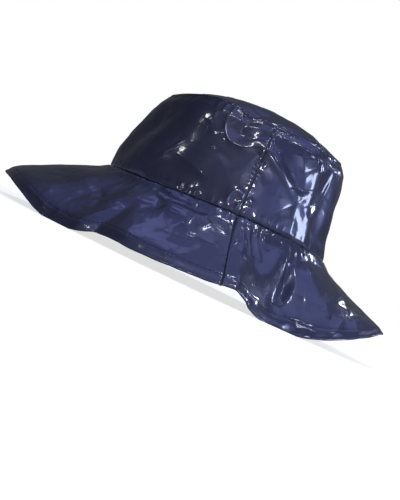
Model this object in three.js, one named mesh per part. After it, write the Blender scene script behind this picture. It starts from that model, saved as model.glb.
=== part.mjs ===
// A wide brim rain hat, sewn from glossy coated cloth. Its crown is a domed oval tip over a side made
// of a front and a back panel, and its flared brim is a front and a back panel with a turned hem.
// The hat rests on the four lowest waves of its brim, with the hollow for the head open below.
//
// Millimetres, +Z up. The front of the hat faces -Y and the wearer's left is +X. The origin is on
// the floor, under the middle of the brim. A turn is an angle in degrees round the hat, from the
// front through the wearer's left. A share runs outwards over a panel, from its upper or inner seam
// at 0 to its lower or outer seam at 1.

import * as THREE from "three";
import { LoftGeometry } from "three/addons/geometries/LoftGeometry.js";

// The crown, measured on its outside.
const BASE_LENGTH = 200; // at the brim seam, front to back
const BASE_WIDTH = 168; // at the brim seam, side to side
const TOP_LENGTH = 160; // at the tip seam, front to back
const TOP_WIDTH = 136; // at the tip seam, side to side
const FRONT_RISE = 74; // from the brim seam up to the tip seam, at the front
const BACK_RISE = 81; // the same, at the back
const DOME_RISE = 17.5; // of the tip above its seam
const FRONT_DOME_POWER = 3.3; // how flat the dome runs before it turns down to its seam
const BACK_DOME_POWER = 2.5;
const TIP_ARCH = 5.5; // how much higher the tip seam runs at the sides than at its ends

// The brim.
const FRONT_SEAM_HEIGHT = 61; // brim seam above the floor, at the front
const BACK_SEAM_HEIGHT = 64; // the same, at the back
const SEAM_ARCH = 3.6; // how much higher the brim seam runs at the sides
const ARCH_SKEW = 1.2; // how much of that arch lies towards the back
const BRIM_WIDTH = 86; // from the brim seam out to the edge, along the cloth
const HEM_WIDTH = 7; // turned under along the edge
const HEM_FOLD = 1; // thickness that the hem adds

// Cloth and seams.
const WALL = 1.2;
const SEAM_GAP = 0.45; // between two panels, along the cloth
const SIDE_SEAM_TURN = 99; // of the left side seam; the right one mirrors it
const NAVY = 0x232546;
const DENT_DEPTH = 4; // of the deepest dent in the crown
const FOLD_DEPTH = 5; // of the deepest fold in the brim

// The crown side's outline: how far it leans out from the tip seam at 0 to the brim seam at 1.
const SIDE_PROFILE = [
  { up: 0, front: 1, back: 1 },
  { up: 0.2, front: 0.96, back: 0.84 },
  { up: 0.4, front: 0.77, back: 0.73 },
  { up: 0.6, front: 0.55, back: 0.55 },
  { up: 0.8, front: 0.33, back: 0.4 },
  { up: 0.9, front: 0.2, back: 0.27 },
  { up: 1, front: 0, back: 0 },
];

// The brim's slope between its seam and its edge: how much of its whole fall it has made at each
// share out, at the front of the hat and at the back.
const BRIM_PROFILE = [
  { out: 0, front: 0, back: 0 },
  { out: 0.12, front: 0.11, back: 0.19 },
  { out: 0.3, front: 0.27, back: 0.37 },
  { out: 0.5, front: 0.45, back: 0.57 },
  { out: 0.7, front: 0.63, back: 0.73 },
  { out: 0.85, front: 0.77, back: 0.84 },
  { out: 0.93, front: 0.87, back: 0.91 },
  { out: 1, front: 1, back: 1 },
];

// The brim's waving edge: its reach from the crown as a share of the brim's width, and its lift
// above the floor as a share of the seam's height. The hat stands where the lift is 0.
const EDGE = [
  { turn: 0, reach: 0.922, lift: 0.315 },
  { turn: 16, reach: 0.893, lift: 0.29 },
  { turn: 30, reach: 0.844, lift: 0.172 },
  { turn: 38, reach: 0.786, lift: 0.054 },
  { turn: 43, reach: 0.74, lift: 0 },
  { turn: 49, reach: 0.717, lift: 0 },
  { turn: 54, reach: 0.719, lift: 0.034 },
  { turn: 57, reach: 0.69, lift: 0.092 },
  { turn: 59.5, reach: 0.64, lift: 0.148 },
  { turn: 63, reach: 0.66, lift: 0.141 },
  { turn: 72, reach: 0.713, lift: 0.126 },
  { turn: 80, reach: 0.722, lift: 0.133 },
  { turn: 88, reach: 0.735, lift: 0.154 },
  { turn: 96, reach: 0.75, lift: 0.173 },
  { turn: 103, reach: 0.75, lift: 0.211 },
  { turn: 107, reach: 0.705, lift: 0.158 },
  { turn: 111, reach: 0.645, lift: 0.072 },
  { turn: 115, reach: 0.601, lift: 0.02 },
  { turn: 119, reach: 0.578, lift: 0 },
  { turn: 126, reach: 0.573, lift: 0 },
  { turn: 132, reach: 0.605, lift: 0.022 },
  { turn: 139, reach: 0.657, lift: 0.092 },
  { turn: 146, reach: 0.713, lift: 0.192 },
  { turn: 156, reach: 0.79, lift: 0.351 },
  { turn: 168, reach: 0.839, lift: 0.488 },
  { turn: 180, reach: 0.853, lift: 0.495 },
  { turn: 192, reach: 0.84, lift: 0.46 },
  { turn: 206, reach: 0.78, lift: 0.32 },
  { turn: 220, reach: 0.67, lift: 0.1 },
  { turn: 231, reach: 0.59, lift: 0 },
  { turn: 238, reach: 0.58, lift: 0 },
  { turn: 246, reach: 0.62, lift: 0.06 },
  { turn: 254, reach: 0.71, lift: 0.18 },
  { turn: 264, reach: 0.76, lift: 0.22 },
  { turn: 280, reach: 0.75, lift: 0.18 },
  { turn: 294, reach: 0.71, lift: 0.15 },
  { turn: 304, reach: 0.7, lift: 0.09 },
  { turn: 311, reach: 0.71, lift: 0 },
  { turn: 317, reach: 0.74, lift: 0 },
  { turn: 328, reach: 0.83, lift: 0.16 },
  { turn: 344, reach: 0.905, lift: 0.29 },
];

// Dents in the crown side, as shares of the deepest. A negative depth is a bulge. Wide is in
// degrees of turn, tall is a share of the panel, and lean is the turn it drifts over that height.
const DENTS = [
  { turn: 82, share: 0.17, depth: 0.8, wide: 11, tall: 0.16, lean: 0 },
  { turn: 111, share: 0.42, depth: -0.5, wide: 6, tall: 0.2, lean: 16 },
  { turn: 120, share: 0.5, depth: 0.55, wide: 8, tall: 0.4, lean: 10 },
  { turn: 134, share: 0.45, depth: -0.55, wide: 6, tall: 0.5, lean: 2 },
  { turn: 145, share: 0.4, depth: 1, wide: 7, tall: 0.45, lean: -3 },
  { turn: 60, share: 0.62, depth: 0.45, wide: 14, tall: 0.3, lean: 8 },
  { turn: 30, share: 0.45, depth: 0.8, wide: 10, tall: 0.4, lean: -8 },
  { turn: 8, share: 0.6, depth: -0.4, wide: 12, tall: 0.4, lean: 0 },
  { turn: 172, share: 0.5, depth: 0.5, wide: 9, tall: 0.5, lean: 6 },
  { turn: 196, share: 0.35, depth: 0.7, wide: 10, tall: 0.35, lean: -8 },
  { turn: 226, share: 0.5, depth: 1, wide: 8, tall: 0.45, lean: 7 },
  { turn: 243, share: 0.55, depth: -0.45, wide: 7, tall: 0.4, lean: 5 },
  { turn: 271, share: 0.25, depth: 0.7, wide: 12, tall: 0.22, lean: 0 },
  { turn: 292, share: 0.6, depth: 0.6, wide: 10, tall: 0.3, lean: -9 },
  { turn: 322, share: 0.45, depth: 0.75, wide: 10, tall: 0.4, lean: 7 },
  { turn: 346, share: 0.7, depth: 0.4, wide: 9, tall: 0.3, lean: -4 },
];

// Folds in the brim, as shares of the deepest. A negative depth is a ridge. Each runs outwards
// from one share to another, swings round by some degrees over the brim, and is wide in degrees.
const FOLDS = [
  { turn: 57, swing: 2.5, from: 0.35, to: 1.2, depth: 0.5, wide: 4 },
  { turn: 134, swing: -16, from: 0.1, to: 0.95, depth: 0.9, wide: 5.5 },
  { turn: 126, swing: -18, from: 0.1, to: 0.85, depth: -0.35, wide: 5 },
  { turn: 147, swing: -8, from: 0.05, to: 0.9, depth: -0.4, wide: 7 },
  { turn: 108, swing: 0, from: -0.2, to: 0.6, depth: 0.3, wide: 4 },
  { turn: 84, swing: -8, from: -0.2, to: 0.75, depth: -0.35, wide: 9 },
  { turn: 68, swing: -6, from: 0, to: 0.7, depth: 0.25, wide: 6 },
  { turn: 22, swing: 4, from: 0, to: 1.1, depth: 0.3, wide: 8 },
  { turn: 165, swing: 6, from: 0, to: 1.1, depth: 0.35, wide: 7 },
  { turn: 200, swing: -5, from: 0, to: 1.1, depth: 0.4, wide: 7 },
  { turn: 228, swing: 12, from: 0.1, to: 0.95, depth: 0.7, wide: 6 },
  { turn: 256, swing: -5, from: 0, to: 0.9, depth: -0.4, wide: 7 },
  { turn: 285, swing: 6, from: 0, to: 1, depth: 0.45, wide: 7 },
  { turn: 303, swing: 4, from: 0.2, to: 1.2, depth: 0.5, wide: 6 },
  { turn: 340, swing: -5, from: 0, to: 1.1, depth: -0.35, wide: 8 },
];

// Dips in the tip seam, as shares of the deepest dent.
const TIP_DIPS = [
  { turn: 58, depth: -1.2, wide: 26 },
  { turn: 84, depth: 1, wide: 6 },
  { turn: 150, depth: 0.3, wide: 8 },
  { turn: 215, depth: 0.4, wide: 9 },
  { turn: 318, depth: 0.35, wide: 9 },
];

// Mesh fineness. The shares are where a panel has a section line between its seams.
const LONGEST_STEP = 4; // degrees of turn between two sections
const SIDE_SHARES = [0.1, 0.22, 0.36, 0.5, 0.64, 0.8];
const BRIM_SHARES = [0.14, 0.29, 0.44, 0.59, 0.74, 0.88, 1]; // of the brim inside its hem
const TIP_SHARES = [0.25, 0.48, 0.68, 0.84];
const HEM_STEP = 0.8; // over which the wall thickens to the hem
const DIP_POWER = 6; // how near to its seam the tip follows the dips
const DENT_FADE = 6; // how soon a dent or fold reaches its depth away from a seam
const NORMAL_STEP = { turn: 0.25, share: 0.004 }; // for reading a surface's slope

const FULL_TURN = 360;
const HALF_TURN = FULL_TURN / 2;
const UP = new THREE.Vector3(0, 0, 1);

const sine = (turn) => Math.sin(THREE.MathUtils.degToRad(turn));
const cosine = (turn) => Math.cos(THREE.MathUtils.degToRad(turn));
const backness = (turn) => (1 - cosine(turn)) / 2;
const mix = THREE.MathUtils.lerp;

// The signed turn from one angle to another, the short way round.
function turnBetween(from, to) {
  return THREE.MathUtils.euclideanModulo(to - from + HALF_TURN, FULL_TURN) - HALF_TURN;
}

// Reads one column of a table at any key, along a smooth curve that never overshoots its rows.
function readTable(rows, keyName, column, key) {
  const next = rows.findIndex((row) => row[keyName] > key);
  const after = next < 0 ? rows.length - 1 : Math.max(next, 1);
  const slope = (i) => {
    const [a, b, c] = [rows[i - 1], rows[i], rows[i + 1]];
    if (!a || !c) return 0;
    const [before, behind] = [b[keyName] - a[keyName], c[keyName] - b[keyName]];
    const [rise, fall] = [(b[column] - a[column]) / before, (c[column] - b[column]) / behind];
    return rise * fall <= 0 ? 0 : (2 * rise * fall) / (rise + fall);
  };
  const [low, high] = [rows[after - 1], rows[after]];
  const span = high[keyName] - low[keyName];
  const t = THREE.MathUtils.clamp((key - low[keyName]) / span, 0, 1);
  const ease = t * t * (3 - 2 * t);
  const leave = t * (1 - t) * (1 - t) * span * slope(after - 1);
  const arrive = t * t * (t - 1) * span * slope(after);
  return mix(low[column], high[column], ease) + leave + arrive;
}

// The edge table with its ends repeated on both sides, so that it can be read all the way round.
const ROUND_EDGE = [-FULL_TURN, 0, FULL_TURN].flatMap((shift) =>
  EDGE.map((row) => ({ ...row, turn: row.turn + shift })),
);
const edge = (column, turn) =>
  readTable(ROUND_EDGE, "turn", column, THREE.MathUtils.euclideanModulo(turn, FULL_TURN));

// The crown sits so that the brim's front and back edges are equally far from the origin.
const CROWN_Y = ((edge("reach", 0) - edge("reach", HALF_TURN)) * BRIM_WIDTH) / 2;

// A point on an oval round the crown's axis, and the way out from there.
function ovalPoint(turn, width, length, height) {
  return new THREE.Vector3(
    (sine(turn) * width) / 2,
    CROWN_Y - (cosine(turn) * length) / 2,
    height,
  );
}

function wayOut(turn) {
  return new THREE.Vector3(sine(turn) / BASE_WIDTH, -cosine(turn) / BASE_LENGTH, 0).normalize();
}

// A smooth bump that is 1 at the middle of a dent or fold.
const bump = (x, y = 0) => Math.exp(-x * x - y * y);

function tipDip(turn) {
  const depths = TIP_DIPS.map((dip) => dip.depth * bump(turnBetween(dip.turn, turn) / dip.wide));
  return DENT_DEPTH * depths.reduce((sum, depth) => sum + depth, 0);
}

function seamHeight(turn) {
  const arch = SEAM_ARCH * sine(turn) ** 2 * (1 - ARCH_SKEW * cosine(turn));
  return mix(FRONT_SEAM_HEIGHT, BACK_SEAM_HEIGHT, backness(turn)) + arch;
}

function tipSeamHeight(turn) {
  const front = FRONT_SEAM_HEIGHT + FRONT_RISE;
  const back = BACK_SEAM_HEIGHT + BACK_RISE;
  return mix(front, back, backness(turn)) + TIP_ARCH * sine(turn) ** 2 - tipDip(turn);
}

// The three curves that the panels hang between.
function brimSeam(turn) {
  return ovalPoint(turn, BASE_WIDTH, BASE_LENGTH, seamHeight(turn));
}

function tipSeam(turn) {
  return ovalPoint(turn, TOP_WIDTH, TOP_LENGTH, tipSeamHeight(turn));
}

function brimEdge(turn) {
  const reach = 2 * edge("reach", turn) * BRIM_WIDTH;
  const height = edge("lift", turn) * seamHeight(turn);
  return ovalPoint(turn, BASE_WIDTH + reach, BASE_LENGTH + reach, height);
}

const TIP_MIDDLE = tipSeam(0).lerp(tipSeam(HALF_TURN), 0.5);

// The outer surface of each part of the hat.
function tipSurface(turn, share) {
  const power = mix(FRONT_DOME_POWER, BACK_DOME_POWER, backness(turn));
  const point = TIP_MIDDLE.clone().lerp(tipSeam(turn), share);
  point.z += DOME_RISE * (1 - share ** power) + tipDip(turn) * (share - share ** DIP_POWER);
  return point;
}

function dentAt(turn, share) {
  const depths = DENTS.map((dent) => {
    const down = (share - dent.share) / dent.tall;
    return dent.depth * bump((turnBetween(dent.turn, turn) - dent.lean * down) / dent.wide, down);
  });
  const keptFromSeams = Math.min(1, DENT_FADE * share * (1 - share));
  return DENT_DEPTH * keptFromSeams * depths.reduce((sum, depth) => sum + depth, 0);
}

function sideSurface(turn, share) {
  const up = 1 - share;
  const top = tipSeam(turn);
  const bottom = brimSeam(turn);
  const leanOut = mix(
    readTable(SIDE_PROFILE, "up", "front", up),
    readTable(SIDE_PROFILE, "up", "back", up),
    backness(turn),
  );
  const point = top.clone().lerp(bottom, leanOut).setZ(mix(bottom.z, top.z, up));
  return point.addScaledVector(wayOut(turn), -dentAt(turn, share));
}

function foldAt(turn, share) {
  const depths = FOLDS.map((fold) => {
    const middle = fold.turn + fold.swing * share;
    const along = THREE.MathUtils.clamp((share - fold.from) / (fold.to - fold.from), 0, 1);
    return fold.depth * Math.sin(along * Math.PI) * bump(turnBetween(middle, turn) / fold.wide);
  });
  const keptFromSeam = Math.min(1, DENT_FADE * share);
  return FOLD_DEPTH * keptFromSeam * depths.reduce((sum, depth) => sum + depth, 0);
}

function brimSurface(turn, share) {
  const seam = brimSeam(turn);
  const rim = brimEdge(turn);
  const fall = mix(
    readTable(BRIM_PROFILE, "out", "front", share),
    readTable(BRIM_PROFILE, "out", "back", share),
    backness(turn),
  );
  const point = seam.clone().lerp(rim, share).setZ(mix(seam.z, rim.z, fall));
  const slopeUp = wayOut(turn).multiplyScalar(seam.z - rim.z).addScaledVector(UP, seam.distanceTo(rim));
  return point.addScaledVector(slopeUp.normalize(), -foldAt(turn, share));
}

// The way out of the cloth at a point of a surface.
function normalAt(surface, turn, share) {
  const along = surface(turn + NORMAL_STEP.turn, share).sub(surface(turn - NORMAL_STEP.turn, share));
  const inner = Math.max(share - NORMAL_STEP.share, 0);
  const outer = Math.min(share + NORMAL_STEP.share, 1);
  const across = surface(turn, outer).sub(surface(turn, inner));
  return across.cross(along).normalize();
}

// The way out of the cloth at a seam, halfway between the two panels that meet there.
function seamNormal(upper, lower, turn) {
  return normalAt(upper, turn, 1 - NORMAL_STEP.share)
    .add(normalAt(lower, turn, NORMAL_STEP.share))
    .normalize();
}
const tipSeamNormal = (turn) => seamNormal(tipSurface, sideSurface, turn);
const brimSeamNormal = (turn) => seamNormal(sideSurface, brimSurface, turn);

// The floor flattens the cloth that rests on it.
const onFloor = (point) => point.setZ(Math.max(point.z, 0));

// A pair of points through the wall: one outside and one inside. At a seam the wall is cut along
// the seam's own normal, so that the two panels meet in a mitre.
function throughWall(panel, turn, station) {
  const outside = panel.surface(turn, station.at);
  const normal = normalAt(panel.surface, turn, station.at);
  const cut = station.seam ? station.seam(turn) : normal;
  const inside = outside.clone().addScaledVector(cut, -station.wall / cut.dot(normal));
  return [onFloor(outside), onFloor(inside)];
}

// A panel's stations from its upper seam to its lower one, each with its wall thickness. Half of the
// seam's gap is left open at each seam.
const HALF_GAP = SEAM_GAP / 2;
const HEM_WALL = WALL + HEM_FOLD;
const HEM_SHARE = HEM_WIDTH / BRIM_WIDTH;
const INSIDE_HEM = 1 - HEM_SHARE - HEM_STEP / BRIM_WIDTH;

const TIP_PANEL = {
  surface: tipSurface,
  stations: [
    ...TIP_SHARES.map((at) => ({ at, wall: WALL })),
    { at: 1 - (2 * HALF_GAP) / TOP_LENGTH, wall: WALL, seam: tipSeamNormal },
  ],
};
const SIDE_PANEL = {
  surface: sideSurface,
  stations: [
    { at: HALF_GAP / FRONT_RISE, wall: WALL, seam: tipSeamNormal },
    ...SIDE_SHARES.map((at) => ({ at, wall: WALL })),
    { at: 1 - HALF_GAP / FRONT_RISE, wall: WALL, seam: brimSeamNormal },
  ],
};
const BRIM_PANEL = {
  surface: brimSurface,
  stations: [
    { at: HALF_GAP / BRIM_WIDTH, wall: WALL, seam: brimSeamNormal },
    ...BRIM_SHARES.map((share) => ({ at: share * INSIDE_HEM, wall: WALL })),
    { at: 1 - HEM_SHARE, wall: HEM_WALL },
    { at: 1, wall: HEM_WALL },
  ],
};

// The turns at which a panel has a section: every row of the edge table, and steps between them.
function turnsBetween(first, last) {
  const stops = ROUND_EDGE.map((row) => row.turn).filter((turn) => turn > first && turn < last);
  const ends = [first, ...stops, last];
  const turns = ends.slice(1).flatMap((end, i) => {
    const steps = Math.ceil((end - ends[i]) / LONGEST_STEP);
    return Array.from({ length: steps }, (_, k) => mix(ends[i], end, k / steps));
  });
  return [...turns, last];
}

// A panel from one side seam to the other, as a loft of closed sections through its wall.
function panelGeometry(panel, firstSeamTurn, lastSeamTurn) {
  const halfGap = THREE.MathUtils.radToDeg(SEAM_GAP / BASE_WIDTH);
  const sections = turnsBetween(firstSeamTurn + halfGap, lastSeamTurn - halfGap).map((turn) => {
    const pairs = panel.stations.map((station) => throughWall(panel, turn, station));
    const outside = pairs.map(([out]) => out);
    const inside = pairs.map(([, inner]) => inner).reverse();
    return [...outside, ...inside];
  });
  return new LoftGeometry(sections, { capStart: true, capEnd: true });
}

// Drops the triangles that a loft leaves empty where a ring shrinks to a point.
function withoutEmptyTriangles(geometry) {
  const corner = (i) => new THREE.Vector3().fromBufferAttribute(geometry.attributes.position, i);
  const index = Array.from(geometry.index.array);
  const isReal = (i) => {
    const [a, b, c] = [0, 1, 2].map((k) => corner(index[i - (i % 3) + k]));
    return !a.equals(b) && !b.equals(c) && !c.equals(a);
  };
  geometry.setIndex(index.filter((_, i) => isReal(i)));
  return geometry;
}

// The tip, as a loft of rings that runs from the middle of its underside out to its cut edge, round
// that and back over the dome.
function tipGeometry() {
  const turns = turnsBetween(0, FULL_TURN).slice(0, -1);
  const middle = (drop) => turns.map(() => tipSurface(0, 0).addScaledVector(UP, -drop));
  const ring = (station, side) => turns.map((turn) => throughWall(TIP_PANEL, turn, station)[side]);
  const below = TIP_PANEL.stations.map((station) => ring(station, 1));
  const above = TIP_PANEL.stations.map((station) => ring(station, 0)).reverse();
  return withoutEmptyTriangles(new LoftGeometry([middle(WALL), ...below, ...above, middle(0)]));
}

function clothPiece(name, geometry) {
  const coatedCloth = new THREE.MeshStandardMaterial({ color: NAVY, roughness: 0.2, metalness: 0 });
  const piece = new THREE.Mesh(geometry, coatedCloth);
  piece.name = name;
  return piece;
}

const LEFT_SEAM = SIDE_SEAM_TURN;
const RIGHT_SEAM = FULL_TURN - SIDE_SEAM_TURN;

const hat = new THREE.Group();
hat.name = "rain_hat";
hat.add(
  clothPiece("crown_tip", tipGeometry()),
  clothPiece("crown_side_front", panelGeometry(SIDE_PANEL, RIGHT_SEAM - FULL_TURN, LEFT_SEAM)),
  clothPiece("crown_side_back", panelGeometry(SIDE_PANEL, LEFT_SEAM, RIGHT_SEAM)),
  clothPiece("brim_front", panelGeometry(BRIM_PANEL, RIGHT_SEAM - FULL_TURN, LEFT_SEAM)),
  clothPiece("brim_back", panelGeometry(BRIM_PANEL, LEFT_SEAM, RIGHT_SEAM)),
);

export default hat;
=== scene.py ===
"""A wide brim rain hat in glossy navy coated cloth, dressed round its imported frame.

Shapes are worked out in millimetres, and only the finished meshes are in metres. The front of the hat
faces -Y and the wearer's left is +X. A turn is an angle in degrees round the hat, from the front
through the wearer's left. A share runs outwards over a panel, from its upper or inner seam at 0 to
its lower or outer seam at 1. All sizes and tables that part.mjs has too are the same here.
"""

import itertools
import math
from collections import namedtuple

import bpy
import numpy as np
from mathutils import Matrix, Vector


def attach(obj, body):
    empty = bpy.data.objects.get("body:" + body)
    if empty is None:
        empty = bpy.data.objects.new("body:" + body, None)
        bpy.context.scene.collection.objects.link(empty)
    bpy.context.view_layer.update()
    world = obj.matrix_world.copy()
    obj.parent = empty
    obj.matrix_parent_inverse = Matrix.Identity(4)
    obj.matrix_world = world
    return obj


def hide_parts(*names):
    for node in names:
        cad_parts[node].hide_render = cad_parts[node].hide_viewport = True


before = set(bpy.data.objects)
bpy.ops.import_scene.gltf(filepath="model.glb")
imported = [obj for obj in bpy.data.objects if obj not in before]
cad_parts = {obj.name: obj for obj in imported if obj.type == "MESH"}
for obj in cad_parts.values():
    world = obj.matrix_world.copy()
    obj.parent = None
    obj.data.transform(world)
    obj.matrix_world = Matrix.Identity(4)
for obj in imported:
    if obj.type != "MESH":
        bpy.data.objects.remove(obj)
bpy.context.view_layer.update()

MM = 0.001
FULL_TURN = 360


def table(columns, *rows):
    """A table as one array for each of its named columns."""
    return {name: np.array(values, float) for name, values in zip(columns.split(), zip(*rows))}


# The crown and the brim, as in the frame. Lengths run front to back, and widths side to side.
BASE_LENGTH = 200
BASE_WIDTH = 168
TOP_LENGTH = 160
TOP_WIDTH = 136
FRONT_RISE = 74
BACK_RISE = 81
DOME_RISE = 17.5
FRONT_DOME_POWER = 3.3
BACK_DOME_POWER = 2.5
TIP_ARCH = 5.5  # how much higher the tip seam runs at the sides than at its ends
FRONT_SEAM_HEIGHT = 61
BACK_SEAM_HEIGHT = 64
SEAM_ARCH = 3.6  # how much higher the brim seam runs at the sides
ARCH_SKEW = 1.2  # how much of that arch lies towards the back
BRIM_WIDTH = 86
HEM_WIDTH = 7
SIDE_SEAM_TURN = 99
DENT_DEPTH = 4
FOLD_DEPTH = 5
DIP_POWER = 6  # how near to its seam the tip follows the dips
DENT_FADE = 6  # how soon a dent or fold reaches its depth away from a seam

# The cloth itself, thinner than the frame's walls.
CLOTH = 0.8
HEM_CLOTH = 1.7
HEM_RAMP = 0.6  # over which the cloth thickens to the hem
SEAM_OPENING = 0.12  # between two panels
RIM_STEPS = 5  # points round the hem's rolled edge

# How far the crown's side leans out at each share up: 1 is as far as the brim seam, 0 as the tip seam.
SIDE_PROFILE = table(
    "up front back",
    (0, 1, 1),
    (0.2, 0.96, 0.84),
    (0.4, 0.77, 0.73),
    (0.6, 0.55, 0.55),
    (0.8, 0.33, 0.4),
    (0.9, 0.2, 0.27),
    (1, 0, 0),
)

# How much of its whole fall the brim has made at each share out.
BRIM_PROFILE = table(
    "out front back",
    (0, 0, 0),
    (0.12, 0.11, 0.19),
    (0.3, 0.27, 0.37),
    (0.5, 0.45, 0.57),
    (0.7, 0.63, 0.73),
    (0.85, 0.77, 0.84),
    (0.93, 0.87, 0.91),
    (1, 1, 1),
)

# The brim's waving edge: its reach as a share of the brim's width, and its lift above the floor as a
# share of the seam's height. The hat stands where the lift is 0.
EDGE = table(
    "turn reach lift",
    (0, 0.922, 0.315),
    (16, 0.893, 0.29),
    (30, 0.844, 0.172),
    (38, 0.786, 0.054),
    (43, 0.74, 0),
    (49, 0.717, 0),
    (54, 0.719, 0.034),
    (57, 0.69, 0.092),
    (59.5, 0.64, 0.148),
    (63, 0.66, 0.141),
    (72, 0.713, 0.126),
    (80, 0.722, 0.133),
    (88, 0.735, 0.154),
    (96, 0.75, 0.173),
    (103, 0.75, 0.211),
    (107, 0.705, 0.158),
    (111, 0.645, 0.072),
    (115, 0.601, 0.02),
    (119, 0.578, 0),
    (126, 0.573, 0),
    (132, 0.605, 0.022),
    (139, 0.657, 0.092),
    (146, 0.713, 0.192),
    (156, 0.79, 0.351),
    (168, 0.839, 0.488),
    (180, 0.853, 0.495),
    (192, 0.84, 0.46),
    (206, 0.78, 0.32),
    (220, 0.67, 0.1),
    (231, 0.59, 0),
    (238, 0.58, 0),
    (246, 0.62, 0.06),
    (254, 0.71, 0.18),
    (264, 0.76, 0.22),
    (280, 0.75, 0.18),
    (294, 0.71, 0.15),
    (304, 0.7, 0.09),
    (311, 0.71, 0),
    (317, 0.74, 0),
    (328, 0.83, 0.16),
    (344, 0.905, 0.29),
)

# Dents in the crown's side, as shares of the deepest. A negative depth is a bulge. Wide is in degrees,
# tall is a share of the panel, and lean is the turn that the dent drifts over that height.
DENTS = table(
    "turn share depth wide tall lean",
    (82, 0.17, 0.8, 11, 0.16, 0),
    (111, 0.42, -0.5, 6, 0.2, 16),
    (120, 0.5, 0.55, 8, 0.4, 10),
    (134, 0.45, -0.55, 6, 0.5, 2),
    (145, 0.4, 1, 7, 0.45, -3),
    (60, 0.62, 0.45, 14, 0.3, 8),
    (30, 0.45, 0.8, 10, 0.4, -8),
    (8, 0.6, -0.4, 12, 0.4, 0),
    (172, 0.5, 0.5, 9, 0.5, 6),
    (196, 0.35, 0.7, 10, 0.35, -8),
    (226, 0.5, 1, 8, 0.45, 7),
    (243, 0.55, -0.45, 7, 0.4, 5),
    (271, 0.25, 0.7, 12, 0.22, 0),
    (292, 0.6, 0.6, 10, 0.3, -9),
    (322, 0.45, 0.75, 10, 0.4, 7),
    (346, 0.7, 0.4, 9, 0.3, -4),
)

# Folds in the brim, as shares of the deepest. A negative depth is a ridge. Each runs outwards from its
# start to its end, swings by some degrees over the brim, and is wide in degrees.
FOLDS = table(
    "turn swing start end depth wide",
    (57, 2.5, 0.35, 1.2, 0.5, 4),
    (134, -16, 0.1, 0.95, 0.9, 5.5),
    (126, -18, 0.1, 0.85, -0.35, 5),
    (147, -8, 0.05, 0.9, -0.4, 7),
    (108, 0, -0.2, 0.6, 0.3, 4),
    (84, -8, -0.2, 0.75, -0.35, 9),
    (68, -6, 0, 0.7, 0.25, 6),
    (22, 4, 0, 1.1, 0.3, 8),
    (165, 6, 0, 1.1, 0.35, 7),
    (200, -5, 0, 1.1, 0.4, 7),
    (228, 12, 0.1, 0.95, 0.7, 6),
    (256, -5, 0, 0.9, -0.4, 7),
    (285, 6, 0, 1, 0.45, 7),
    (303, 4, 0.2, 1.2, 0.5, 6),
    (340, -5, 0, 1.1, -0.35, 8),
)

# Dips in the tip seam, as shares of the deepest dent.
TIP_DIPS = table(
    "turn depth wide",
    (58, -1.2, 26),
    (84, 1, 6),
    (150, 0.3, 8),
    (215, 0.4, 9),
    (318, 0.35, 9),
)

# A crease follows (turn, share) points. Its slopes reach so many millimetres to the left and to the
# right of that line, seen from outside, and it stands so high. A negative rise is a valley. Its crest
# is rounded over so many millimetres.
Crease = namedtuple("Crease", "path left right rise rounding", defaults=[1])

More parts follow.
